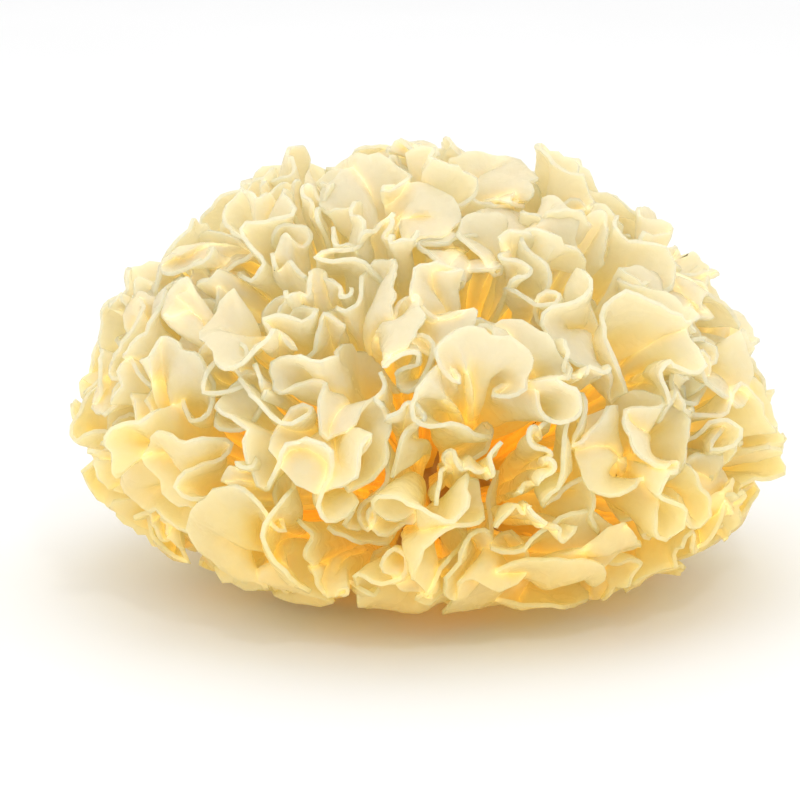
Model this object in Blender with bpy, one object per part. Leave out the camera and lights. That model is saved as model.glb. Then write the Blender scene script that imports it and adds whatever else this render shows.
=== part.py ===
"""A head of snow fungus, soaked soft and trimmed: a firm base, cut flat where it grew, and the wavy fronds
that fan out from it on all sides in one broad dome.

Metres, +Z up. The origin is on the flat cut under the base, in the middle of the head. X runs across the
head and Y from its front to its back.
"""

import math
import random

import bmesh
import bpy
from mathutils import Matrix, Vector, noise

# The head as a whole
HEAD_WIDTH = 0.180
HEAD_DEPTH = 0.176
HEAD_HEIGHT = 0.111
WIDEST_LEVEL = 0.037
UNDERSIDE_LEVEL = 0.003
UNDERSIDE_ROUNDNESS = 6
BELLY_DEPTH = 0.045
HEART_LEVEL = 0.016
SHOULDER_DIRECTION = Vector((1.0, 0.0, 0.9)).normalized()
SHOULDER_DROP = 0.07
SHOULDER_TIGHTNESS = 4
HEAP_UNEVENNESS = 0.035
HEAP_SCALE = 1.6

# The fronds
FROND_COUNT = 42
FROND_THICKNESS = 0.002
FROND_ROOT_RADIUS = 0.018
FIRST_TURN = math.radians(-33)
LOWEST_GROWTH_ANGLE = math.radians(94)
LOWEST_SPREAD_ANGLE = math.radians(106)
GAP_BETWEEN_ROOTS = 0.0006
GAP_BETWEEN_MARGINS = 0.0016
CELL_ROUNDNESS = 6
DRIFT = 0.13
DRIFT_SCALE = 2.0
DRIFT_SHIFTS = (Vector((0, 0, 0)), Vector((7, 3, 5)), Vector((2, 9, 4)))
SEGMENTS_ALONG = 13
ROW_HEIGHTS = (0.0, 0.5, 0.82, 1.0)
STEPS_PER_SEGMENT = 6
WAVES = (1.35, 2.0)
SWING = (1.3, 1.65)
BEND = (0.3, 1.6)
FLARE = 2.2
FOLD_DEPTH = 0.75
FOLD_CLEARANCE = 1.35
FOLD_REACH = 3.2
LOBES = (2.2, 3.6)
LOBE_DEPTH = 0.09
END_DROP = 0.20
END_SHARPNESS = 4

# The base
CUT_RADIUS = 0.019
FOOT_RADIUS = 0.0203
BASE_SIDES = 16
BASE_CLEARANCE = 0.0006
BASE_LUMP = 0.0007
BASE_LUMP_SCALE = 160
FOOT_LEVELS = (0.003, 0.007)
DOME_ANGLES = (106, 86, 66, 48, 28, 10)

SEED = 12
SEEDS_PER_HEAD = 1000
NO_LENGTH = 1e-9

# The flesh
SHARPEST_SMOOTH_EDGE = math.radians(50)
FROND_COLOUR = (0.90, 0.76, 0.48, 1.0)
FROND_ROUGHNESS = 0.22
BASE_COLOUR = (0.62, 0.38, 0.13, 1.0)
BASE_ROUGHNESS = 0.45


def clear_scene():
    for obj in list(bpy.data.objects):
        bpy.data.objects.remove(obj, do_unlink=True)


def flesh(name, colour, roughness):
    """The gelatinous flesh of one part of the fungus."""
    material = bpy.data.materials.new(name)
    material.use_nodes = True
    shader = material.node_tree.nodes["Principled BSDF"]
    shader.inputs["Base Color"].default_value = colour
    shader.inputs["Roughness"].default_value = roughness
    shader.inputs["Metallic"].default_value = 0.0
    material.diffuse_color = colour
    return material


def head_reach(direction):
    """How far the head reaches from its heart along a direction.

    The outside is two half ellipsoids that meet at the widest level: a high dome above, and below it a
    shallow belly with a flat underside, which is how a soaked head settles under its own weight. It is a
    little uneven, as a grown thing is.
    """
    heart = HEART_LEVEL - WIDEST_LEVEL
    for half_height in (BELLY_DEPTH, HEAD_HEIGHT - WIDEST_LEVEL):
        x = direction.x / (HEAD_WIDTH / 2)
        y = direction.y / (HEAD_DEPTH / 2)
        z = direction.z / half_height
        start = heart / half_height
        square = x * x + y * y + z * z
        linear = start * z
        reach = (math.sqrt(linear**2 - square * (start**2 - 1)) - linear) / square
        if heart + reach * direction.z <= 0:
            break
    if direction.z < 0:
        underside = (HEART_LEVEL - UNDERSIDE_LEVEL) / -direction.z
        reach /= (1 + (reach / underside) ** UNDERSIDE_ROUNDNESS) ** (1 / UNDERSIDE_ROUNDNESS)
    shoulder = SHOULDER_DROP * max(0, direction.dot(SHOULDER_DIRECTION)) ** SHOULDER_TIGHTNESS
    return reach * (1 - shoulder + HEAP_UNEVENNESS * noise.noise(direction * HEAP_SCALE))


def on_sphere(angle_from_top, turn):
    across = math.sin(angle_from_top)
    return Vector((across * math.cos(turn), across * math.sin(turn), math.cos(angle_from_top)))


def growth_directions():
    """The directions in which the fronds leave the heart, spread evenly from the crown to the lowest ring."""
    golden_turn = math.pi * (3 - math.sqrt(5))
    depth = 1 - math.cos(LOWEST_GROWTH_ANGLE)
    return [
        on_sphere(math.acos(1 - depth * (i + 0.5) / FROND_COUNT), FIRST_TURN + i * golden_turn)
        for i in range(FROND_COUNT)
    ]


def cell_walls(index, directions):
    """The walls of the cone that one frond has to itself, halfway to each of its neighbours.

    Each wall is (its direction, its distance) in the plane across the frond's own direction, one unit from
    the heart. The last one is the lowest slope that a frond can lean to.
    """
    own = directions[index]
    below = on_sphere(2 * LOWEST_SPREAD_ANGLE - math.acos(own.z), math.atan2(own.y, own.x))
    walls = []
    for other in directions[:index] + directions[index + 1 :] + [below]:
        angle = own.angle(other)
        if angle < math.pi / 2:
            walls.append(((other - own * own.dot(other)).normalized(), math.tan(angle / 2)))
    return walls


def fold_line(habit, height):
    """The line of the sheet across its cell at a height from 0 (root) to 1 (margin), in a disc of radius 1.

    A heading that swings to and fro makes the folds. The root has no swing, so the sheet starts as a plain
    curved strip. It waves more and more as it rises, and flares at its margin.
    """
    swing = habit["swing"] * height**FLARE
    steps = SEGMENTS_ALONG * STEPS_PER_SEGMENT
    point = Vector((0.0, 0.0))
    line = [point.copy()]
    for step in range(steps):
        along = (step + 0.5) / steps - 0.5
        heading = swing * math.sin(math.tau * habit["waves"] * along + habit["phase"]) + habit["bend"] * along
        point += Vector((math.cos(heading), math.sin(heading)))
        if (step + 1) % STEPS_PER_SEGMENT == 0:
            line.append(point.copy())
    low = Vector((min(p.x for p in line), min(p.y for p in line)))
    high = Vector((max(p.x for p in line), max(p.y for p in line)))
    half = (high - low) / 2
    wide = 1 / half.x
    deep = min(1 / half.y, wide * (1 + FOLD_DEPTH * height))
    turn = Matrix.Rotation(habit["turn"], 2)
    folded = []
    for p in line:
        x = (p.x - low.x - half.x) * wide
        y = (p.y - low.y - half.y) * deep
        folded.append(turn @ Vector((x * math.sqrt(1 - y * y / 2), y * math.sqrt(1 - x * x / 2))))
    return folded


def spread_over_cell(point, walls, across, clearance):
    """The place in the frond's cell for a point of the unit disc, as a step across its own direction."""
    if point.length < NO_LENGTH:
        return Vector((0.0, 0.0, 0.0))
    step = (across[0] * point.x + across[1] * point.y).normalized()
    towards = [step.dot(wall) / (distance - clearance) for wall, distance in walls]
    press = sum(max(0.0, share) ** CELL_ROUNDNESS for share in towards)
    return step * (point.length / press ** (1 / CELL_ROUNDNESS))


def margin_reach(habit, along):
    """The share of the head's reach that the margin has: scalloped in lobes, and lower at its two ends."""
    lobe = 0.5 - 0.5 * math.cos(math.tau * habit["lobes"] * along + habit["lobe_phase"])
    return 1 - LOBE_DEPTH * lobe**2 - END_DROP * abs(2 * along) ** END_SHARPNESS


def drift(direction):
    """How far the fronds lean aside at a place on the head, all together, as a crowd of grown sheets does."""
    place = direction * DRIFT_SCALE
    return DRIFT * Vector([noise.noise(place + shift) for shift in DRIFT_SHIFTS])


def draw_habit(chance):
    """How one frond grows: the waves of its folds, how they lie, and the lobes of its margin."""
    return {
        "waves": chance.uniform(*WAVES),
        "swing": chance.uniform(*SWING),
        "phase": chance.uniform(0, math.tau),
        "bend": chance.choice((-1, 1)) * chance.uniform(*BEND),
        "turn": chance.uniform(0, math.tau),
        "lobes": chance.uniform(*LOBES),
        "lobe_phase": chance.uniform(0, math.tau),
    }


def sheet_rows(own, walls, habit):
    """The sheet's middle surface: a row of points along the fold line at each height, from root to margin."""
    sideways = own.orthogonal().normalized()
    across = (sideways, own.cross(sideways))
    rows = []
    for height in ROW_HEIGHTS:
        gap = GAP_BETWEEN_ROOTS + (GAP_BETWEEN_MARGINS - GAP_BETWEEN_ROOTS) * height
        radius = FROND_ROOT_RADIUS + (HEAD_WIDTH / 2 - FROND_ROOT_RADIUS) * height
        clearance = (FROND_THICKNESS + gap) / 2 / radius
        row = []
        for column, point in enumerate(fold_line(habit, height)):
            direction = (own + spread_over_cell(point, walls, across, clearance)).normalized()
            direction = (direction + drift(direction) * height).normalized()
            margin = head_reach(direction) * margin_reach(habit, column / SEGMENTS_ALONG - 0.5)
            reach = FROND_ROOT_RADIUS + (margin - FROND_ROOT_RADIUS) * height
            row.append(Vector((0, 0, HEART_LEVEL)) + direction * reach)
        rows.append(row)
    return rows


def folds_stay_clear(row):
    """Whether the folds keep apart: points that are far apart along the row are not close across it."""
    for first in range(len(row)):
        length = 0
        for last in range(first + 1, len(row)):
            length += (row[last] - row[last - 1]).length
            near = (row[last] - row[first]).length < FROND_THICKNESS * FOLD_CLEARANCE
            if near and length > FROND_THICKNESS * FOLD_REACH:
                return False
    return True


def make_frond(index, directions, material):
    """One frond: a single sheet that grows from the base, folding and widening until it fills its cell."""
    chance = random.Random(SEED * SEEDS_PER_HEAD + index)
    walls = cell_walls(index, directions)
    rows = sheet_rows(directions[index], walls, draw_habit(chance))
    while not all(folds_stay_clear(row) for row in rows):
        rows = sheet_rows(directions[index], walls, draw_habit(chance))
    last_row = len(ROW_HEIGHTS) - 1
    bm = bmesh.new()
    bmesh.ops.create_grid(bm, x_segments=SEGMENTS_ALONG, y_segments=last_row, size=0.5)
    for vert in bm.verts:
        vert.co = rows[round((vert.co.y + 0.5) * last_row)][round((vert.co.x + 0.5) * SEGMENTS_ALONG)]
    bmesh.ops.triangulate(bm, faces=bm.faces)
    frond = make_object(bm, f"frond_{index + 1:02d}", material)
    wall = frond.modifiers.new("Sheet thickness", "SOLIDIFY")
    wall.thickness = FROND_THICKNESS
    wall.offset = 0
    return frond


def base_rings():
    """The radius and height of each ring of the base, from the cut over the foot to the top of its dome."""
    rings = [(CUT_RADIUS, 0.0)] + [(FOOT_RADIUS, level) for level in FOOT_LEVELS]
    dome_radius = FROND_ROOT_RADIUS - BASE_CLEARANCE
    for angle in DOME_ANGLES:
        top_angle = math.radians(angle)
        level = HEART_LEVEL + dome_radius * math.cos(top_angle)
        rings.append((dome_radius * math.sin(top_angle), level))
    return rings


def make_base(material):
    """The base: a firm lumpy stump that the fronds root in, cut off flat where the fungus grew on its log."""
    rings = base_rings()
    bm = bmesh.new()
    bmesh.ops.create_circle(bm, cap_ends=True, segments=BASE_SIDES, radius=rings[0][0])
    rim = bm.edges[:]
    for (radius_below, _), (radius, level) in zip(rings, rings[1:]):
        raised = bmesh.ops.extrude_edge_only(bm, edges=rim)["geom"]
        rim = [item for item in raised if isinstance(item, bmesh.types.BMEdge) and item.is_boundary]
        for vert in {vert for edge in rim for vert in edge.verts}:
            vert.co.x *= radius / radius_below
            vert.co.y *= radius / radius_below
            vert.co.z = level
    bmesh.ops.holes_fill(bm, edges=rim)
    for vert in bm.verts:
        if vert.co.z > 0:
            outward = Vector((vert.co.x, vert.co.y, vert.co.z - HEART_LEVEL)).normalized()
            vert.co -= outward * BASE_LUMP * abs(noise.noise(vert.co * BASE_LUMP_SCALE))
    bmesh.ops.recalc_face_normals(bm, faces=bm.faces)
    return make_object(bm, "base", material)


def make_object(bm, name, material):
    mesh = bpy.data.meshes.new(name)
    bm.to_mesh(mesh)
    bm.free()
    mesh.shade_smooth()
    mesh.set_sharp_from_angle(angle=SHARPEST_SMOOTH_EDGE)
    mesh.materials.append(material)
    obj = bpy.data.objects.new(name, mesh)
    bpy.context.scene.collection.objects.link(obj)
    return obj


def trim_to_size(fronds):
    """Stretches the fronds a little, so that the head has its true width, depth and height."""
    bpy.context.view_layer.update()
    graph = bpy.context.evaluated_depsgraph_get()
    corners = [Vector(corner) for frond in fronds for corner in frond.evaluated_get(graph).bound_box]
    for axis, size in ((0, HEAD_WIDTH / 2), (1, HEAD_DEPTH / 2), (2, HEAD_HEIGHT)):
        low = min(corner[axis] for corner in corners)
        high = max(corner[axis] for corner in corners)
        for vert in (vert for frond in fronds for vert in frond.data.vertices):
            vert.co[axis] *= size / (high if vert.co[axis] > 0 else -low)


def build():
    clear_scene()
    frond_flesh = flesh("Frond flesh", FROND_COLOUR, FROND_ROUGHNESS)
    base_flesh = flesh("Base flesh", BASE_COLOUR, BASE_ROUGHNESS)
    directions = growth_directions()
    fronds = [make_frond(i, directions, frond_flesh) for i in range(FROND_COUNT)]
    trim_to_size(fronds)
    make_base(base_flesh)


build()
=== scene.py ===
import math
import random

import bmesh
import bpy
import numpy as np
from mathutils import Matrix, Vector, noise
from mathutils.kdtree import KDTree


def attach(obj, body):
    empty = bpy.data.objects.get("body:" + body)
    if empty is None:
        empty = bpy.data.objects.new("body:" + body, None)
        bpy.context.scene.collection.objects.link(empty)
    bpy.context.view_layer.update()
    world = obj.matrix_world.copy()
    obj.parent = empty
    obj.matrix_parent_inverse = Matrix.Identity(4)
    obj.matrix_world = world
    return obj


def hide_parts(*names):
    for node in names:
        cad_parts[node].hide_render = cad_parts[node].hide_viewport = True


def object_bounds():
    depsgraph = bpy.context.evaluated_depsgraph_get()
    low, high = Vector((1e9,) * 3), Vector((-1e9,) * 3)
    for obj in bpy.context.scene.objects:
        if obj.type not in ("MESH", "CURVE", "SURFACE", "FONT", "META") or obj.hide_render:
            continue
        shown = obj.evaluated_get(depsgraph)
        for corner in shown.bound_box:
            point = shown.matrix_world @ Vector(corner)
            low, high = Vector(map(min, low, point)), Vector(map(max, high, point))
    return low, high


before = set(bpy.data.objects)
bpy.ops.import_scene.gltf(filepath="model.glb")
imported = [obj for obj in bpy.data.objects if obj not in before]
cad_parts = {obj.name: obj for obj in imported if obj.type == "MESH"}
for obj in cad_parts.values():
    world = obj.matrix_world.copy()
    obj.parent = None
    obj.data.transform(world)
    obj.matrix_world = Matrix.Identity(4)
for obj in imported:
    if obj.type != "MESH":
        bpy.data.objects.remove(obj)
cad_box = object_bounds()

# The base
#
# The firm heel that the head grew from on its log. It is denser and browner than the fronds, cut flat across the
# bottom with a knife when the head was picked, and every frond grows out of its rounded top.

HEART_LEVEL = 0.016
CUT_FACE_RINGS = ((0.007, 0.0), (0.013, 0.0), (0.0175, 0.0), (0.0190, 0.0))
FOOT_RINGS = ((0.0199, 0.0008), (0.0203, 0.003), (0.0203, 0.007))
DOME_RADIUS = 0.0174
DOME_ANGLES = (106, 96, 86, 76, 66, 57, 48, 38, 28, 19, 10)
BASE_SIDES = 72
BASE_LUMP = 0.0005
BASE_LUMP_SCALE = 190


class Wire:
    """One output of a shader node, on which sums are written as in Python."""

    def __init__(self, tree, socket):
        self.tree = tree
        self.socket = socket

    def node(self, kind, settings=None, output=0, **sockets):
        """Adds a node, sets it up, and fills its sockets by name, or by number as i0, i1 and so on."""
        made = self.tree.nodes.new("ShaderNode" + kind)
        for name, value in (settings or {}).items():
            if name == "stops":
                for _ in value[2:]:
                    made.color_ramp.elements.new(0.5)
                for element, (position, colour) in zip(made.color_ramp.elements, value):
                    element.position = position
                    element.color = (*colour, 1)
            else:
                setattr(made, name, value)
        for name, value in sockets.items():
            found = made.inputs[int(name[1:]) if name[1:].isdigit() else name.replace("_", " ")]
            if isinstance(value, Wire):
                self.tree.links.new(value.socket, found)
            else:
                found.default_value = value
        return Wire(self.tree, made.outputs[output])

    def maths(self, operation, first, second):
        return self.node("Math", {"operation": operation}, i0=first, i1=second)

    def __add__(self, other):
        return self.maths("ADD", self, other)

    def __sub__(self, other):
        return self.maths("SUBTRACT", self, other)

    def __rsub__(self, other):
        return self.maths("SUBTRACT", other, self)

    def __mul__(self, other):
        return self.maths("MULTIPLY", self, other)

    __radd__ = __add__
    __rmul__ = __mul__


def new_material(name):
    """An empty material, as (material, wire that carries the object's own coordinates)."""
    material = bpy.data.materials.new(name)
    material.use_nodes = True
    tree = material.node_tree
    tree.nodes.clear()
    coordinates = tree.nodes.new("ShaderNodeTexCoord")
    return material, Wire(tree, coordinates.outputs["Object"])


def finish_material(material, shader):
    output = material.node_tree.nodes.new("ShaderNodeOutputMaterial")
    material.node_tree.links.new(shader.socket, output.inputs["Surface"])


def new_piece(bm, name, material):
    """The bmesh as a smooth object at the origin."""
    mesh = bpy.data.meshes.new(name)
    bm.to_mesh(mesh)
    bm.free()
    mesh.materials.append(material)
    mesh.shade_smooth()
    piece = bpy.data.objects.new(name, mesh)
    bpy.context.collection.objects.link(piece)
    return piece


base_flesh, place = new_material("base_flesh")
fibres = place.node("TexNoise", Vector=place, Scale=420.0, Detail=5.0, Roughness=0.62)
patches = place.node("TexNoise", Vector=place, Scale=90.0, Detail=3.0)
stain = place.node(
    "ValToRGB",
    {"stops": ((0.30, (0.42, 0.22, 0.06)), (0.52, (0.66, 0.42, 0.15)), (0.75, (0.82, 0.62, 0.30)))},
    Fac=patches * 0.7 + fibres * 0.3,
)
finish_material(
    base_flesh,
    place.node(
        "BsdfPrincipled",
        {"subsurface_method": "BURLEY"},
        Base_Color=stain,
        Roughness=fibres * 0.3 + 0.34,
        IOR=1.36,
        Subsurface_Weight=1.0,
        Subsurface_Radius=(1.0, 0.5, 0.2),
        Subsurface_Scale=0.003,
        Normal=place.node("Bump", Height=fibres, Distance=0.0004, Strength=0.6),
    ),
)

bm = bmesh.new()
bmesh.ops.create_circle(bm, cap_ends=True, radius=CUT_FACE_RINGS[0][0], segments=BASE_SIDES)
rings = [*CUT_FACE_RINGS[1:], *FOOT_RINGS]
for angle in DOME_ANGLES:
    from_top = math.radians(angle)
    rings.append((DOME_RADIUS * math.sin(from_top), HEART_LEVEL + DOME_RADIUS * math.cos(from_top)))
rim = bm.edges[:]
for radius, ring_level in rings:
    raised = bmesh.ops.extrude_edge_only(bm, edges=rim)["geom"]
    rim = [item for item in raised if isinstance(item, bmesh.types.BMEdge) and item.is_boundary]
    for vert in {vert for edge in rim for vert in edge.verts}:
        vert.co = Vector((vert.co.x, vert.co.y, 0)).normalized() * radius + Vector((0, 0, ring_level))
bmesh.ops.holes_fill(bm, edges=rim)
for vert in bm.verts:
    if vert.co.z > 0:
        outward = (vert.co - Vector((0, 0, HEART_LEVEL))).normalized()
        vert.co += outward * BASE_LUMP * noise.noise(vert.co * BASE_LUMP_SCALE)
bmesh.ops.recalc_face_normals(bm, faces=bm.faces)
picked_base = new_piece(bm, "picked_base", base_flesh)
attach(picked_base, "root")
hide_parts("base")

# The fronds
#
# Thin sheets of clear jelly, each grown from its own line on the base. A margin grows faster than the sheet below
# it, so it buckles into folds and lips, and soaking has swollen the fronds until they press on each other.

HEAD_WIDTH = 0.180
HEAD_DEPTH = 0.176
HEAD_HEIGHT = 0.111
WIDEST_LEVEL = 0.037
UNDERSIDE_LEVEL = 0.003
UNDERSIDE_ROUNDNESS = 6
BELLY_DEPTH = 0.045
SHOULDER_DIRECTION = Vector((1.0, 0.0, 0.9)).normalized()
SHOULDER_DROP = 0.07
SHOULDER_TIGHTNESS = 4
HEAP_UNEVENNESS = 0.035
HEAP_SCALE = 1.6
FROND_COUNT = 42
FROND_THICKNESS = 0.002
FROND_ROOT_RADIUS = 0.018
FIRST_TURN = math.radians(-33)
LOWEST_GROWTH_ANGLE = math.radians(94)
LOWEST_SPREAD_ANGLE = math.radians(106)
GAP_BETWEEN_ROOTS = 0.0006
GAP_BETWEEN_MARGINS = 0.0016
CELL_ROUNDNESS = 6
DRIFT = 0.13
DRIFT_SCALE = 2.0
DRIFT_SHIFTS = (Vector((0, 0, 0)), Vector((7, 3, 5)), Vector((2, 9, 4)))
WAVES = (1.35, 2.0)
SWING = (1.3, 1.65)
BEND = (0.3, 1.6)
FLARE = 2.2
FOLD_DEPTH = 0.75
FOLD_CLEARANCE = 1.35
FOLD_REACH = 3.2
LOBES = (2.2, 3.6)
LOBE_DEPTH = 0.09
END_DROP = 0.20
END_SHARPNESS = 4
SEED = 12
SEEDS_PER_HEAD = 1000
# The solid fronds' own rows, from which each frond's habit is settled
PLAIN_HEIGHTS = (0.0, 0.5, 0.82, 1.0)
PLAIN_SEGMENTS = 13
PLAIN_STEPS = 78
# The sheets as they grow
SHEET_SEGMENTS = 76
SHEET_ROWS = 12
ROW_CROWDING = 1.2
ROOTED_ROWS = 2
GROWTH_TURNS = 200
GROWTH_START = 0.4
GROWTH_SHAPE = 1.5
FULLY_GROWN = 0.7
MARGIN_GROWTH = 1.7
LIP_GROWTH = 0.22
EVENNESS = 0.65
NOTCHES = (4, 6)
NOTCH_DEPTH = 0.45
NOTCH_SHARPNESS = 4
STRETCH_SHARE = 0.25
SHEAR_SHARE = 0.08
STIFFNESS_ALONG = 0.09
STIFFNESS_UP = 0.12
PRESS_START = 0.35
PRESS_GAP = 0.0028
PRESS_EVERY = 4
SAME_FOLD = 3
OUTLINE_UNEVENNESS = 0.12
OUTLINE_SCALE = 6.5
OUTLINE_HOLD = 0.25
# Their finish
CRINKLE_DEPTH = 0.0013
CRINKLE_SCALE = 120
NIBBLE_DEPTH = 0.0022
NIBBLE_LENGTH = 0.0042
NIBBLE_START = 0.7
MARGIN_THICKNESS = 0.0010
RIM_ROUNDING = 0.42
HEART = Vector((0, 0, HEART_LEVEL))


def head_reach(direction):
    """How far the head's outline lies from its heart along a direction."""
    heart = HEART_LEVEL - WIDEST_LEVEL
    for half_height in (BELLY_DEPTH, HEAD_HEIGHT - WIDEST_LEVEL):
        x = direction.x / (HEAD_WIDTH / 2)
        y = direction.y / (HEAD_DEPTH / 2)
        z = direction.z / half_height
        start = heart / half_height
        square = x * x + y * y + z * z
        linear = start * z
        reach = (math.sqrt(linear**2 - square * (start**2 - 1)) - linear) / square
        if heart + reach * direction.z <= 0:
            break
    if direction.z < 0:
        underside = (HEART_LEVEL - UNDERSIDE_LEVEL) / -direction.z
        reach /= (1 + (reach / underside) ** UNDERSIDE_ROUNDNESS) ** (1 / UNDERSIDE_ROUNDNESS)
    shoulder = SHOULDER_DROP * max(0, direction.dot(SHOULDER_DIRECTION)) ** SHOULDER_TIGHTNESS
    return reach * (1 - shoulder + HEAP_UNEVENNESS * noise.noise(direction * HEAP_SCALE))


def on_sphere(angle_from_top, turn):
    across = math.sin(angle_from_top)
    return Vector((across * math.cos(turn), across * math.sin(turn), math.cos(angle_from_top)))


def spiral_directions(count, lowest_angle, first_turn):
    """Directions spread evenly from the crown down to the lowest angle."""
    golden_turn = math.pi * (3 - math.sqrt(5))
    depth = 1 - math.cos(lowest_angle)
    return [on_sphere(math.acos(1 - depth * (i + 0.5) / count), first_turn + i * golden_turn) for i in range(count)]


def cell_walls(index, directions):
    """The walls halfway to a frond's neighbours, as (direction, distance) in the plane across its own direction."""
    own = directions[index]
    below = on_sphere(2 * LOWEST_SPREAD_ANGLE - math.acos(own.z), math.atan2(own.y, own.x))
    walls = []
    for other in directions[:index] + directions[index + 1 :] + [below]:
        angle = own.angle(other)
        if angle < math.pi / 2:
            walls.append(((other - own * own.dot(other)).normalized(), math.tan(angle / 2)))
    return walls


def fold_line(habit, height, segments, steps):
    """The sheet's folds at a height from 0 (root) to 1 (margin), as points in a disc of radius 1."""
    swing = habit["swing"] * height**FLARE
    stride = steps // segments
    point = Vector((0.0, 0.0))
    line = [point.copy()]
    for step in range(steps):
        along = (step + 0.5) / steps - 0.5
        heading = swing * math.sin(math.tau * habit["waves"] * along + habit["phase"]) + habit["bend"] * along
        point += Vector((math.cos(heading), math.sin(heading)))
        if (step + 1) % stride == 0:
            line.append(point.copy())
    low = Vector((min(p.x for p in line), min(p.y for p in line)))
    high = Vector((max(p.x for p in line), max(p.y for p in line)))
    half = (high - low) / 2
    wide = 1 / half.x
    deep = min(1 / half.y, wide * (1 + FOLD_DEPTH * height))
    turn = Matrix.Rotation(habit["turn"], 2)
    folded = []
    for p in line:
        x = (p.x - low.x - half.x) * wide
        y = (p.y - low.y - half.y) * deep
        folded.append(turn @ Vector((x * math.sqrt(1 - y * y / 2), y * math.sqrt(1 - x * x / 2))))
    return folded


def spread_over_cell(point, walls, across, clearance):
    """The place in the frond's cell that answers to a point of the disc, as a step across its own direction."""
    if point.length < 1e-9:
        return Vector((0.0, 0.0, 0.0))
    step = (across[0] * point.x + across[1] * point.y).normalized()
    press = sum(max(0.0, step.dot(wall) / (distance - clearance)) ** CELL_ROUNDNESS for wall, distance in walls)
    return step * (point.length / press ** (1 / CELL_ROUNDNESS))


def margin_reach(habit, along):
    """The share of the head's reach that the margin has: in lobes, and lower at its two ends."""
    lobe = 0.5 - 0.5 * math.cos(math.tau * habit["lobes"] * along + habit["lobe_phase"])
    return 1 - LOBE_DEPTH * lobe**2 - END_DROP * abs(2 * along) ** END_SHARPNESS


def drift(direction):
    """How far all the fronds lean aside at a place on the head."""
    spot = direction * DRIFT_SCALE
    return DRIFT * Vector([noise.noise(spot + shift) for shift in DRIFT_SHIFTS])


def draw_habit(chance):
    """How one frond grows: the waves of its folds, how they lie, and the lobes of its margin."""
    return {
        "waves": chance.uniform(*WAVES),
        "swing": chance.uniform(*SWING),
        "phase": chance.uniform(0, math.tau),
        "bend": chance.choice((-1, 1)) * chance.uniform(*BEND),
        "turn": chance.uniform(0, math.tau),
        "lobes": chance.uniform(*LOBES),
        "lobe_phase": chance.uniform(0, math.tau),
    }


def sheet_rows(own, walls, habit, heights, segments, steps):
    """The middle of a sheet: a row of points along the fold line at each height."""
    sideways = own.orthogonal().normalized()
    across = (sideways, own.cross(sideways))
    rows = []
    for height in heights:
        gap = GAP_BETWEEN_ROOTS + (GAP_BETWEEN_MARGINS - GAP_BETWEEN_ROOTS) * height
        radius = FROND_ROOT_RADIUS + (HEAD_WIDTH / 2 - FROND_ROOT_RADIUS) * height
        clearance = (FROND_THICKNESS + gap) / 2 / radius
        row = []
        for column, point in enumerate(fold_line(habit, height, segments, steps)):
            direction = (own + spread_over_cell(point, walls, across, clearance)).normalized()
            direction = (direction + drift(direction) * height).normalized()
            margin = head_reach(direction) * margin_reach(habit, column / segments - 0.5)
            reach = FROND_ROOT_RADIUS + (margin - FROND_ROOT_RADIUS) * height
            row.append(HEART + direction * reach)
        rows.append(row)
    return rows


def folds_stay_clear(row):
    """Whether points that are far apart along the row are also apart across it."""
    for first in range(len(row)):
        length = 0
        for last in range(first + 1, len(row)):
            length += (row[last] - row[last - 1]).length
            near = (row[last] - row[first]).length < FROND_THICKNESS * FOLD_CLEARANCE
            if near and length > FROND_THICKNESS * FOLD_REACH:
                return False
    return True


def young_sheet(index, directions, heights):
    """A frond's sheet before its margin outgrows it, with the folds that the solid frond has."""
    own = directions[index]
    walls = cell_walls(index, directions)
    chance = random.Random(SEED * SEEDS_PER_HEAD + index)
    settled = False
    while not settled:
        habit = draw_habit(chance)
        plain = sheet_rows(own, walls, habit, PLAIN_HEIGHTS, PLAIN_SEGMENTS, PLAIN_STEPS)
        settled = all(folds_stay_clear(row) for row in plain)
    return sheet_rows(own, walls, habit, heights, SHEET_SEGMENTS, SHEET_SEGMENTS)


def crowded(rows, crowding):
    """The heights of a sheet's rows, closer together towards its margin."""
    return 1 - (1 - np.arange(rows + 1) / rows) ** crowding


def lengths_of(steps):
    return np.sqrt((steps**2).sum(axis=-1))


def noise_at(places, scale):
    """The same cloudy unevenness for every sheet, by the direction in which a point lies from the heart."""
    values = [noise.noise(Vector(place).normalized() * scale) for place in places.reshape(-1, 3)]
    return np.array(values).reshape(places.shape[:-1])


def reach_of_all(directions, heap):
    """head_reach for an array of directions, with the heap's unevenness given."""
    start = HEART_LEVEL - WIDEST_LEVEL
    rise = directions[..., 2]
    across = (directions[..., 0] / (HEAD_WIDTH / 2)) ** 2 + (directions[..., 1] / (HEAD_DEPTH / 2)) ** 2
    belly, dome = [
        (np.sqrt(linear**2 - square * ((start / half) ** 2 - 1)) - linear) / square
        for half, square, linear in (
            (half, across + (rise / half) ** 2, start * rise / half**2)
            for half in (BELLY_DEPTH, HEAD_HEIGHT - WIDEST_LEVEL)
        )
    ]
    reach = np.where(start + belly * rise <= 0, belly, dome)
    underside = (HEART_LEVEL - UNDERSIDE_LEVEL) / np.maximum(-rise, 1e-6)
    flat = reach / (1 + (reach / underside) ** UNDERSIDE_ROUNDNESS) ** (1 / UNDERSIDE_ROUNDNESS)
    shoulder = np.maximum(0, directions @ np.array(SHOULDER_DIRECTION)) ** SHOULDER_TIGHTNESS
    return np.where(rise < 0, flat, reach) * (1 - SHOULDER_DROP * shoulder + HEAP_UNEVENNESS * heap)


def draw_together(places, move, near, far, want, share):
    """Adds to move what brings two neighbouring sets of points nearer to the distance that growth wants."""
    step = places[far] - places[near]
    size = lengths_of(step)
    pull = step * (share * (size - want) / size)[..., None]
    move[near] += pull
    move[far] -= pull


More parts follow.
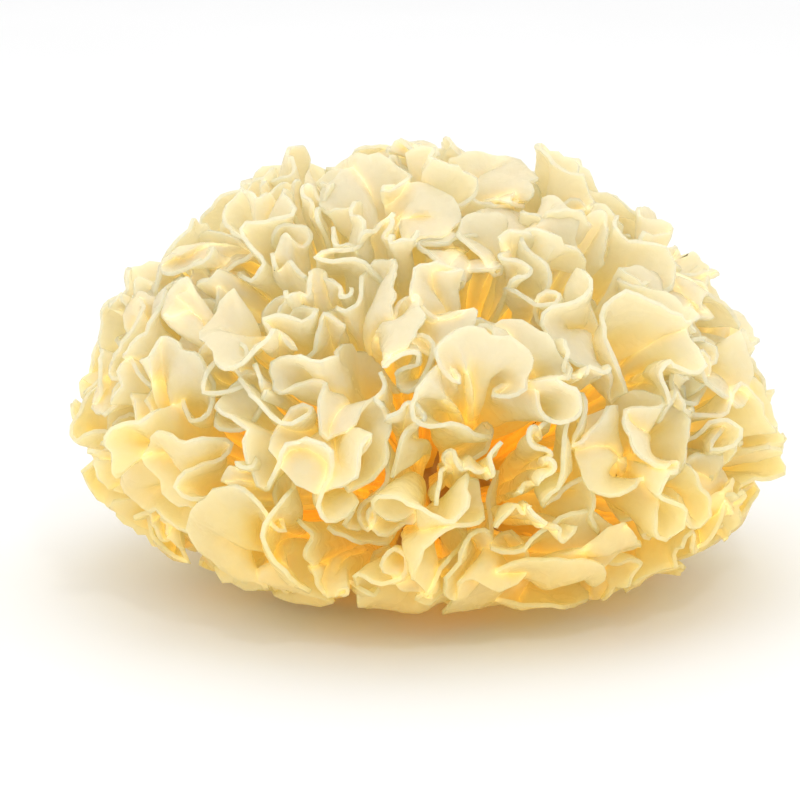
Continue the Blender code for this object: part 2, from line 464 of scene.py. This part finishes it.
def ease_bends(places, axis, stiffness):
    """Opens sharp bends and leaves wide ones, as a springy sheet does."""
    line = np.moveaxis(places, axis, 0)
    bend = np.zeros_like(line)
    bend[1:-1] = (line[:-2] + line[2:]) / 2 - line[1:-1]
    ease = bend.copy()
    ease[1:-1] -= (bend[:-2] + bend[2:]) / 2
    ease[0] -= bend[1] / 2
    ease[-1] -= bend[-2] / 2
    places[:, ROOTED_ROWS:] += stiffness * np.moveaxis(ease, 0, axis)[:, ROOTED_ROWS:]


def close_pairs(points, reach):
    """Every pair of points nearer than reach, found by sorting them into cubes of that size."""
    cubes = np.floor(points / reach).astype(np.int64)
    cubes -= cubes.min(axis=0) - 1
    span = cubes.max(axis=0) + 2
    keys = (cubes[:, 0] * span[1] + cubes[:, 1]) * span[2] + cubes[:, 2]
    order = np.argsort(keys, kind="stable")
    ranked = keys[order]
    steps = [(x, y, z) for x in (-1, 0, 1) for y in (-1, 0, 1) for z in (-1, 0, 1) if (x, y, z) >= (0, 0, 0)]
    firsts, seconds = [], []
    for x, y, z in steps:
        wanted = keys + (x * span[1] + y) * span[2] + z
        start = np.searchsorted(ranked, wanted, "left")
        count = np.searchsorted(ranked, wanted, "right") - start
        first = np.repeat(np.arange(len(keys)), count)
        within = np.arange(count.sum()) - np.repeat(np.cumsum(count) - count, count)
        second = order[np.repeat(start, count) + within]
        near = ((points[first] - points[second]) ** 2).sum(axis=1) < reach**2
        if (x, y, z) == (0, 0, 0):
            near &= first < second
        firsts.append(first[near])
        seconds.append(second[near])
    return np.concatenate(firsts), np.concatenate(seconds)


def press_apart(places, fixed, first_row, pace):
    """Pushes folds apart where they come closer than the gap, whether of one sheet, of two, or against fixed ones."""
    shape = places[:, first_row:].shape
    sheet = np.broadcast_to(np.arange(shape[0])[:, None, None], shape[:3]).ravel()
    column = np.broadcast_to(np.arange(shape[2]), shape[:3]).ravel()
    pace = np.broadcast_to(pace[:, first_row:], shape[:3]).ravel()
    count = len(sheet)
    sheet = np.concatenate((sheet, np.full(len(fixed), -1)))
    column = np.concatenate((column, np.zeros(len(fixed), int)))
    pace = np.concatenate((pace, np.zeros(len(fixed))))
    points = np.concatenate((places[:, first_row:].reshape(-1, 3), fixed))
    first, second = close_pairs(points, PRESS_GAP)
    apart = np.abs(column[first] - column[second]) * (pace[first] + pace[second]) / 2
    keep = (sheet[first] != sheet[second]) | (apart > SAME_FOLD * PRESS_GAP)
    first, second = first[keep], second[keep]
    step = points[first] - points[second]
    size = np.maximum(lengths_of(step), 1e-6)
    push = step * ((PRESS_GAP - size) / 2 / size)[:, None]
    touches = np.bincount(first, minlength=len(points)) + np.bincount(second, minlength=len(points))
    for axis in range(3):
        total = np.bincount(first, push[:, axis], len(points)) - np.bincount(second, push[:, axis], len(points))
        points[:, axis] += total / np.sqrt(np.maximum(touches, 1))
    places[:, first_row:] = points[:count].reshape(shape)


def grow(sheets, heights, margin_growth, notches, turns, fixed):
    """Lets every margin outgrow its sheet until the sheets have buckled and fill the head's outline."""
    places = sheets - np.array(HEART)
    fixed = fixed - np.array(HEART)
    every = slice(None)
    behind, ahead = slice(None, -1), slice(1, None)
    excess = np.clip((heights - GROWTH_START) / (1 - GROWTH_START), 0, 1)
    rise = (excess[1:] + excess[:-1])[:, None] / 2
    along = lengths_of(places[:, :, ahead] - places[:, :, behind])
    along = (1 - EVENNESS) * along + EVENNESS * along.mean(axis=2, keepdims=True)
    up = lengths_of(places[:, ahead] - places[:, behind])
    heap = noise_at(places, HEAP_SCALE)
    rough = 1 - OUTLINE_UNEVENNESS * (0.5 - noise_at(places, OUTLINE_SCALE))
    chance = random.Random(SEED)
    share_along = np.arange(places.shape[2]) / (places.shape[2] - 1)
    notch = np.zeros((len(places), 1, places.shape[2]))
    for sheet_notches in notch:
        count = chance.uniform(*notches)
        phase = chance.uniform(0, math.tau)
        sheet_notches[0] = (0.5 - 0.5 * np.cos(math.tau * count * share_along + phase)) ** NOTCH_SHARPNESS
    first_pressed = int(np.argmax(heights > PRESS_START))
    for turn in range(turns):
        grown = min(1, (turn + 1) / (turns * FULLY_GROWN))
        want_along = along * (1 + margin_growth * grown * excess[:, None] ** GROWTH_SHAPE)
        want_up = up * (1 + LIP_GROWTH * grown * rise) * (1 - NOTCH_DEPTH * notch * rise)
        want_across = np.hypot(
            (want_along[:, ahead] + want_along[:, behind]) / 2, (want_up[:, :, ahead] + want_up[:, :, behind]) / 2
        )
        move = np.zeros_like(places)
        draw_together(places, move, (every, every, behind), (every, every, ahead), want_along, STRETCH_SHARE)
        draw_together(places, move, (every, behind), (every, ahead), want_up, STRETCH_SHARE)
        draw_together(places, move, (every, behind, behind), (every, ahead, ahead), want_across, SHEAR_SHARE)
        draw_together(places, move, (every, ahead, behind), (every, behind, ahead), want_across, SHEAR_SHARE)
        places[:, ROOTED_ROWS:] += move[:, ROOTED_ROWS:]
        ease_bends(places, 2, STIFFNESS_ALONG)
        ease_bends(places, 1, STIFFNESS_UP)
        if turn % PRESS_EVERY == PRESS_EVERY - 1:
            press_apart(places, fixed, first_pressed, want_along.mean(axis=2, keepdims=True))
        away = lengths_of(places)
        over = np.maximum(0, away - rough * reach_of_all(places / away[..., None], heap))
        places *= (1 - OUTLINE_HOLD * over / away)[..., None]
    return places + np.array(HEART)


def halved(points, axis):
    """The points with one more between each two along an axis, on a smooth curve through them."""
    points = np.moveaxis(points, axis, 0)
    ends = np.concatenate((2 * points[:1] - points[1:2], points, 2 * points[-1:] - points[-2:-1]))
    finer = np.empty((2 * len(points) - 1, *points.shape[1:]))
    finer[::2] = points
    finer[1::2] = (9 * (ends[1:-2] + ends[2:-1]) - ends[:-3] - ends[3:]) / 16
    return np.moveaxis(finer, 0, axis)


def crinkled(rows, heights, shift):
    """A sheet with its fine crinkles, and with small bites along its margin."""
    along = np.gradient(rows, axis=1)
    up = np.gradient(rows, axis=0)
    up /= lengths_of(up)[..., None]
    facing = np.cross(along, up)
    facing /= lengths_of(facing)[..., None]
    walked = np.cumsum(lengths_of(along[-1]))
    moved = rows.copy()
    for row, height in enumerate(heights):
        bite = NIBBLE_DEPTH * max(0.0, (height - NIBBLE_START) / (1 - NIBBLE_START)) ** 2
        for column in range(rows.shape[1]):
            spot = Vector(rows[row, column]) * CRINKLE_SCALE + shift
            swell = noise.noise(spot) + 0.5 * noise.noise(spot * 2.1)
            nibble = 0.5 - noise.noise(Vector((walked[column] / NIBBLE_LENGTH, 0, 0)) + shift)
            moved[row, column] += facing[row, column] * (CRINKLE_DEPTH * (0.2 + 0.8 * height**2) * swell)
            moved[row, column] -= up[row, column] * (bite * nibble)
    return moved


def make_sheet(name, number, rows, heights, shades):
    """A closed sheet with rounded rims. Its shades run from 0 at the root to 1 at the margin: they thin the sheet
    towards its margin and set where the jelly's painted shade and painted glow fall.
    """
    shift = Vector((number * 3.1, number * 1.7, number * 2.3))
    heights = halved(heights, 0)
    shades = halved(shades, 0)
    rows = crinkled(halved(halved(rows, 0), 1), heights, shift)
    last_row, last_column = rows.shape[0] - 1, rows.shape[1] - 1
    bm = bmesh.new()
    bmesh.ops.create_grid(bm, x_segments=last_column, y_segments=last_row, size=0.5)
    shade_layer = bm.verts.layers.float.new("shade")
    weight_layer = bm.verts.layers.deform.new()
    for vert in bm.verts:
        row = round((vert.co.y + 0.5) * last_row)
        column = round((vert.co.x + 0.5) * last_column)
        vert.co = rows[row, column]
        vert[shade_layer] = shades[row]
        vert[weight_layer][0] = 1 - shades[row]
    sheet = new_piece(bm, name, frond_flesh)
    sheet.vertex_groups.new(name="firmness")
    wall = sheet.modifiers.new("Sheet thickness", "SOLIDIFY")
    wall.thickness = FROND_THICKNESS
    wall.vertex_group = "firmness"
    wall.thickness_vertex_group = MARGIN_THICKNESS / FROND_THICKNESS
    wall.offset = 0
    rounding = sheet.modifiers.new("Soft rims", "BEVEL")
    rounding.affect = "EDGES"
    rounding.width = MARGIN_THICKNESS * RIM_ROUNDING
    rounding.segments = 2
    rounding.profile = 0.5
    rounding.limit_method = "ANGLE"
    rounding.angle_limit = math.radians(60)
    return sheet


frond_flesh, place = new_material("frond_flesh")
shade = place.node("Attribute", {"attribute_name": "shade"}, output=2)
level = place.node("SeparateXYZ", output=2, Vector=place)
cloud = place.node("TexNoise", Vector=place, Scale=55.0, Detail=3.0)
grain = place.node("TexNoise", Vector=place, Scale=620.0, Detail=3.0, Roughness=0.55)
veins = place.node("TexNoise", Vector=place, Scale=190.0, Detail=4.0, Distortion=0.8)
# The jelly's own cream tone, uneven in clouds and veins, with painted shade on it: golden deep in the head, where the
# fronds shade each other, and lower down, and paler at the lips and at the top, where the light falls.
jelly_colour_and_painted_shade = place.node(
    "ValToRGB",
    {
        "stops": (
            (0.05, (0.955, 0.72, 0.18)),
            (0.42, (0.965, 0.80, 0.28)),
            (0.66, (0.960, 0.85, 0.42)),
            (0.86, (0.935, 0.87, 0.58)),
            (0.985, (0.905, 0.87, 0.71)),
        )
    },
    Fac=shade + (cloud - 0.5) * 0.25 + (veins - 0.5) * 0.10 + (level - 0.060) * 5.5,
)
# Painted glow: the jelly gives off a weak golden light of its own, strong inside the head and weak at the lips. It
# stands in for light scattered through the jelly and lifts the shade in the crevices.
painted_glow_in_jelly = place.node(
    "ValToRGB",
    {
        "stops": (
            (0.05, (0.48, 0.32, 0.04)),
            (0.45, (0.60, 0.44, 0.09)),
            (0.70, (0.54, 0.43, 0.15)),
            (0.90, (0.30, 0.26, 0.12)),
            (1.00, (0.16, 0.145, 0.08)),
        )
    },
    Fac=shade,
)
wet_jelly = place.node(
    "BsdfPrincipled",
    {"subsurface_method": "BURLEY"},
    Base_Color=jelly_colour_and_painted_shade,
    Roughness=veins * 0.22 + 0.16,
    IOR=1.35,
    Subsurface_Weight=1.0,
    Subsurface_Radius=(1.0, 0.7, 0.4),
    Subsurface_Scale=0.004,
    Coat_Weight=0.3,
    Coat_Roughness=0.08,
    Emission_Color=painted_glow_in_jelly,
    Emission_Strength=0.34,
    Normal=place.node("Bump", Height=grain * 0.35 + veins, Distance=0.0009, Strength=0.5),
)
light_through = place.node("BsdfTranslucent", Color=jelly_colour_and_painted_shade)
finish_material(frond_flesh, place.node("MixShader", Fac=0.5, i1=wet_jelly, i2=light_through))

frond_heights = crowded(SHEET_ROWS, ROW_CROWDING)
frond_directions = spiral_directions(FROND_COUNT, LOWEST_GROWTH_ANGLE, FIRST_TURN)
fronds = np.array([young_sheet(index, frond_directions, frond_heights) for index in range(FROND_COUNT)])
fronds = grow(fronds, frond_heights, MARGIN_GROWTH, NOTCHES, GROWTH_TURNS, np.zeros((0, 3)))
sheets = []
for index, rows in enumerate(fronds):
    number = f"{index + 1:02d}"
    sheet = make_sheet("ruffled_frond_" + number, index, rows, frond_heights, frond_heights)
    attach(sheet, "root")
    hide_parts("frond_" + number)
    sheets.append(sheet)

# The side lobes
#
# Smaller sheets of the same jelly that fork off the fronds halfway up and fill the room that the big folds leave.
# Each starts on the face of a frond, opens like a fan, and has grown ruffled against its neighbours.

SIDE_LOBES = 60
SIDE_SEGMENTS = 30
SIDE_ROWS = 8
SIDE_CROWDING = 1.15
SIDE_GROWTH = 1.0
SIDE_NOTCHES = (2, 3)
SIDE_TURNS = 140
SIDE_TRIALS = 700
SIDE_LOWEST_ANGLE = math.radians(102)
SIDE_STEM_ROWS = (3, 7)
SIDE_PRESSED_ROWS = 4
SIDE_PROBES = (0.66, 0.76, 0.86)
SIDE_SPACING = 0.009
SIDE_MIDDLE = 0.8
SIDE_ROOT_SHARE = 0.42
SIDE_STEM_SHARE = 0.64
SIDE_TIP_SHARE = 0.96
SIDE_ROOT_HALF_WIDTH = 0.0022
SIDE_HALF_WIDTH = (0.0065, 0.0095)
SIDE_WAVES = (0.9, 1.5)
SIDE_FOLD_DEPTH = 0.28
SIDE_END_DROP = 0.006
SIDE_TURNINGS = 12
SIDE_SHADE = 0.45


def tree_of(points):
    tree = KDTree(len(points))
    for number, point in enumerate(points):
        tree.insert(point, number)
    tree.balance()
    return tree


def fan_out(room, tree, stems, chance, heights):
    """A young side lobe in the free room, turned the way in which it has the most of it."""
    direction, reach = room["direction"], room["reach"]
    middle = HEART + direction * reach * SIDE_MIDDLE
    first_side = direction.orthogonal().normalized()
    sides = [Matrix.Rotation(math.pi * turn / SIDE_TURNINGS, 3, direction) @ first_side for turn in range(SIDE_TURNINGS)]
    ends = (-0.008, -0.004, 0.004, 0.008)
    side = max(sides, key=lambda side: min(tree.find(middle + side * end)[2] for end in ends))
    thick = direction.cross(side)
    root = stems.find(HEART + direction * reach * SIDE_ROOT_SHARE)[0]
    stem = HEART + direction * reach * SIDE_STEM_SHARE
    tip = HEART + direction * reach * SIDE_TIP_SHARE
    half = chance.uniform(*SIDE_HALF_WIDTH)
    phase = chance.uniform(0, math.tau)
    waves = chance.uniform(*SIDE_WAVES)
    rows = []
    for height in heights:
        centre = root * (1 - height) ** 2 + stem * 2 * height * (1 - height) + tip * height**2
        width = SIDE_ROOT_HALF_WIDTH + (half - SIDE_ROOT_HALF_WIDTH) * height**0.8
        row = []
        for column in range(SIDE_SEGMENTS + 1):
            along = column / SIDE_SEGMENTS - 0.5
            fold = SIDE_FOLD_DEPTH * width * height * math.sin(math.tau * waves * along + phase)
            drop = SIDE_END_DROP * height * (2 * along) ** 2
            row.append(centre + side * (2 * width * along) + thick * fold - direction * drop)
        rows.append(row)
    return rows


def find_rooms(tree):
    """Directions from the heart, with how far off the nearest frond is along the outer part of each."""
    rooms = []
    for direction in spiral_directions(SIDE_TRIALS, SIDE_LOWEST_ANGLE, 0):
        reach = head_reach(direction)
        free = min(tree.find(HEART + direction * reach * share)[2] for share in SIDE_PROBES)
        rooms.append({"direction": direction, "reach": reach, "free": free})
    return rooms


tree = tree_of(fronds.reshape(-1, 3))
stems = tree_of(fronds[:, SIDE_STEM_ROWS[0] : SIDE_STEM_ROWS[1] + 1].reshape(-1, 3))
rooms = find_rooms(tree)
chance = random.Random(SEED + 1)
side_heights = crowded(SIDE_ROWS, SIDE_CROWDING)
young_lobes = []
for _ in range(SIDE_LOBES):
    roomiest = max(rooms, key=lambda room: room["free"])
    young_lobes.append(fan_out(roomiest, tree, stems, chance, side_heights))
    for room in rooms:
        apart = (room["direction"] - roomiest["direction"]).length * roomiest["reach"] * SIDE_MIDDLE
        room["free"] = min(room["free"], apart - SIDE_SPACING)
neighbours = fronds[:, SIDE_PRESSED_ROWS:].reshape(-1, 3)
side_lobes = grow(np.array(young_lobes), side_heights, SIDE_GROWTH, SIDE_NOTCHES, SIDE_TURNS, neighbours)
# The side lobes' painted shade starts lighter than at the fronds' roots, because the lobes begin part way up the
# head.
side_shades = SIDE_SHADE + (1 - SIDE_SHADE) * side_heights
for index, rows in enumerate(side_lobes):
    sheet = make_sheet(f"side_lobe_{index + 1:02d}", FROND_COUNT + index, rows, side_heights, side_shades)
    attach(sheet, "root")
    sheets.append(sheet)

# The head's size
#
# The grown sheets are drawn out or in from the heart by a hair, all together, so that the head is as wide, deep and
# high as the solid one and stands on the same cut.

graph = bpy.context.evaluated_depsgraph_get()
corners = [Vector(corner) for sheet in sheets for corner in sheet.evaluated_get(graph).bound_box]
for axis in range(3):
    low = min(corner[axis] for corner in corners)
    high = max(corner[axis] for corner in corners)
    outward = cad_box[1][axis] / high
    inward = cad_box[0][axis] / low if axis < 2 else 1
    for vert in (vert for sheet in sheets for vert in sheet.data.vertices):
        vert.co[axis] *= outward if vert.co[axis] > 0 else inward

# The floor, the light and the camera
#
# A plain pale floor, an even white sky, a broad soft light above, a weak one from the left and a small one that
# makes the wet glints. The camera looks from the front and a little above, from three quarters of a metre away.

FLOOR_SIZE = 6.0
SKY_STRENGTH = 1.0
LIGHTS = (
    ("broad_light", Vector((0.1, 0.25, 1.1)), 0.9, 2.0),
    ("side_light", Vector((-0.9, -0.55, 0.75)), 0.6, 1.0),
    ("glint_light", Vector((0.25, -0.75, 0.95)), 0.07, 0.9),
)
CAMERA_DISTANCE = 0.756
CAMERA_ELEVATION = math.radians(13.4)
CAMERA_TARGET = Vector((-0.0068, 0.0019, 0.0432))
CAMERA_LENS = 135
LIGHT_BOUNCES = 8
DIFFUSE_BOUNCES = 5
THROUGH_BOUNCES = 6

floor_finish, place = new_material("pale_floor")
paleness = place.node(
    "ValToRGB",
    {"stops": ((0.4, (0.94, 0.94, 0.94)), (0.6, (0.95, 0.95, 0.95)))},
    Fac=place.node("TexNoise", Vector=place, Scale=3.0),
)
finish_material(floor_finish, place.node("BsdfPrincipled", Base_Color=paleness, Roughness=0.7))
bm = bmesh.new()
bmesh.ops.create_grid(bm, x_segments=2, y_segments=2, size=FLOOR_SIZE / 2)
new_piece(bm, "pale_floor", floor_finish)

world = bpy.data.worlds.new("even_sky")
world.use_nodes = True
sky = world.node_tree.nodes["Background"]
sky.inputs["Color"].default_value = (1.0, 1.0, 1.0, 1.0)
sky.inputs["Strength"].default_value = SKY_STRENGTH
bpy.context.scene.world = world

for name, spot, size, power in LIGHTS:
    light = bpy.data.lights.new(name, "AREA")
    light.size = size
    light.energy = power
    lamp = bpy.data.objects.new(name, light)
    lamp.location = spot
    lamp.rotation_euler = (Vector((0, 0, HEAD_HEIGHT / 2)) - spot).to_track_quat("-Z", "Y").to_euler()
    bpy.context.collection.objects.link(lamp)

camera = bpy.data.objects.new("camera", bpy.data.cameras.new("camera"))
back = Vector((0, -math.cos(CAMERA_ELEVATION), math.sin(CAMERA_ELEVATION)))
camera.location = CAMERA_TARGET + back * CAMERA_DISTANCE
camera.rotation_euler = (-back).to_track_quat("-Z", "Y").to_euler()
camera.data.lens = CAMERA_LENS
bpy.context.collection.objects.link(camera)
scene = bpy.context.scene
scene.camera = camera
scene.view_settings.view_transform = "Standard"
scene.cycles.max_bounces = LIGHT_BOUNCES
scene.cycles.diffuse_bounces = DIFFUSE_BOUNCES
scene.cycles.transmission_bounces = THROUGH_BOUNCES
